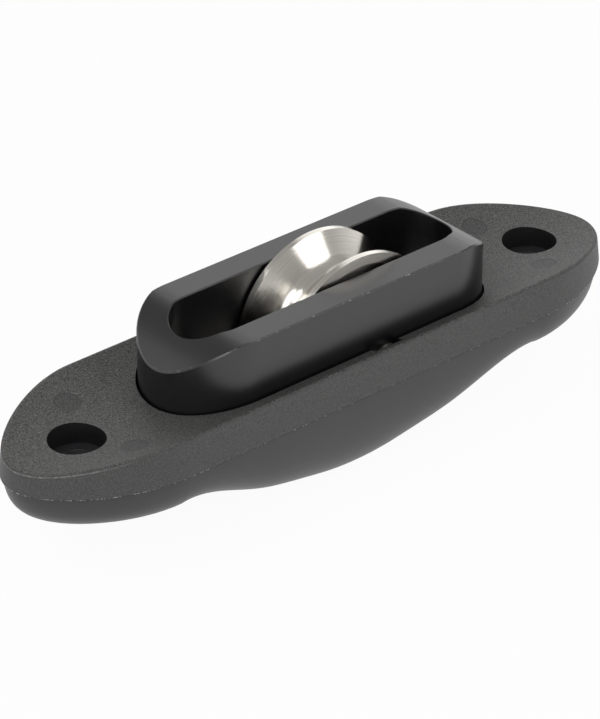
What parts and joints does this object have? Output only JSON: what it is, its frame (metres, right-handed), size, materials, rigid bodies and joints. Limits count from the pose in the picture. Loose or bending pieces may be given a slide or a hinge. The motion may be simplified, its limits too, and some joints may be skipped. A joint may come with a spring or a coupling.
{
  "type": "flush sheave block",
  "caption": "Low moulded block with a hollow mounting face, an upright slotted metal frame and an offset grooved sheave that turns in the rope slot.",
  "frame": {"origin": "midway between the two screw holes, on the floors of their counterbores", "axes": "+X along the block, towards the end that the sheave is nearer; +Y across it, along the axle; +Z out of the mounting face, towards the tube"},
  "size_m": [0.112, 0.0284, 0.0318],
  "materials": {
    "moulded_plastic": "glass-filled nylon, spark-textured above the parting line and satin below",
    "anodised_frame": "satin black anodised, machined",
    "pin_steel": "ground stainless",
    "turned_steel": "bright turned stainless",
    "bearing_steel": "ground",
    "cage_plastic": "natural acetal",
    "washer_plastic": "natural acetal"
  },
  "bodies": {
    "block": {"moulding": "moulded_plastic", "sheave_frame": "anodised_frame", "axle_pin": "pin_steel", "inner_race": "bearing_steel", "thrust_washer_left": "washer_plastic", "thrust_washer_right": "washer_plastic"},
    "sheave": {"sheave": "turned_steel"},
    "roller_set": {"roller_cage": "cage_plastic", "roller_01": "bearing_steel", "roller_02": "bearing_steel", "roller_03": "bearing_steel", "roller_04": "bearing_steel", "roller_05": "bearing_steel", "roller_06": "bearing_steel", "roller_07": "bearing_steel", "roller_08": "bearing_steel", "roller_09": "bearing_steel", "roller_10": "bearing_steel", "roller_11": "bearing_steel", "roller_12": "bearing_steel"}
  },
  "joints": [
    {"name": "sheave_spin", "type": "hinge", "parent": "block", "child": "sheave", "pos_m": [0.0042, 0, 0.0027], "axis": [0, 1, 0], "continuous": true},
    {"name": "roller_orbit", "type": "hinge", "parent": "block", "child": "roller_set", "pos_m": [0.0042, 0, 0.0027], "axis": [0, 1, 0], "continuous": true}
  ],
  "couplings": [
    {"joint": "roller_orbit", "follows": "sheave_spin", "ratio": 0.605}
  ]
}
